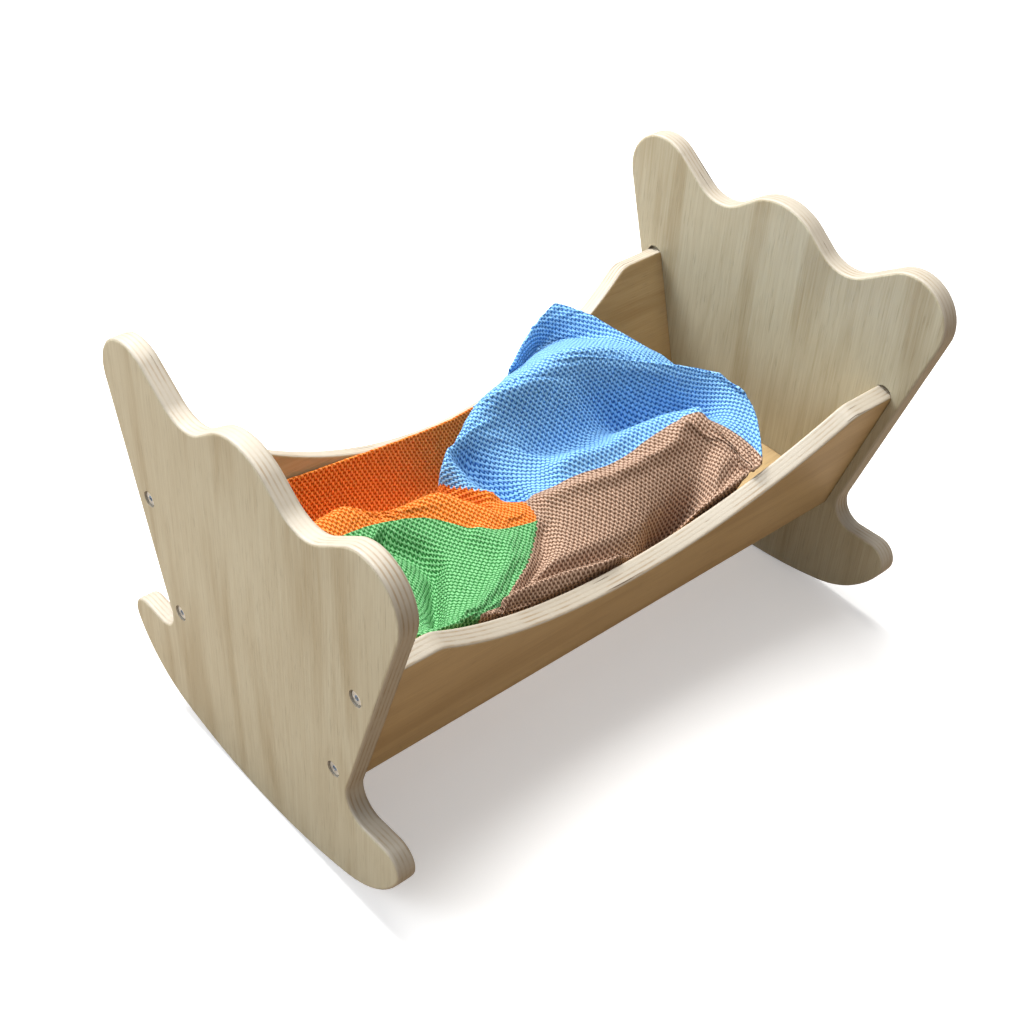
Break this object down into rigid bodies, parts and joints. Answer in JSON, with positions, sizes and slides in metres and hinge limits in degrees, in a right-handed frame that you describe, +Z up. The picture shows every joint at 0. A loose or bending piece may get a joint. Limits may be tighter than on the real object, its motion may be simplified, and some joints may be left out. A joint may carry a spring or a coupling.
{
  "type": "doll's rocking cradle",
  "caption": "Plywood doll's cradle with scalloped end panels that are also its rockers, leaning sides, a base and a knitted blanket.",
  "frame": {"origin": "on the floor under the middle of the cradle, where the rockers' lowest lines stand at rest", "axes": "+Z up, +Y from the foot panel to the head panel, +X to the right seen from the foot"},
  "size_m": [0.321, 0.5, 0.3215],
  "materials": {
    "birch_ply_ends": "satin clear lacquer on birch plywood, face grain upright",
    "birch_ply_sides": "satin clear lacquer on birch plywood, face grain lengthwise",
    "birch_ply_base": "satin clear lacquer on thin birch plywood",
    "zinc_screw": "bright zinc plate",
    "knitted_blanket": "machine-knitted cotton in four colour blocks"
  },
  "bodies": {
    "cradle": {"foot_panel": "birch_ply_ends", "head_panel": "birch_ply_ends", "left_side_panel": "birch_ply_sides", "right_side_panel": "birch_ply_sides", "base_panel": "birch_ply_base", "screw_foot_left_lower": "zinc_screw", "screw_foot_left_upper": "zinc_screw", "screw_foot_right_lower": "zinc_screw", "screw_foot_right_upper": "zinc_screw", "screw_head_left_lower": "zinc_screw", "screw_head_left_upper": "zinc_screw", "screw_head_right_lower": "zinc_screw", "screw_head_right_upper": "zinc_screw"},
    "blanket": {"blanket": "knitted_blanket"}
  },
  "joints": [
    {"name": "blanket_lift", "type": "slide", "parent": "cradle", "child": "blanket", "axis": [0, 0, 1], "range_m": [0, 0.25]}
  ]
}
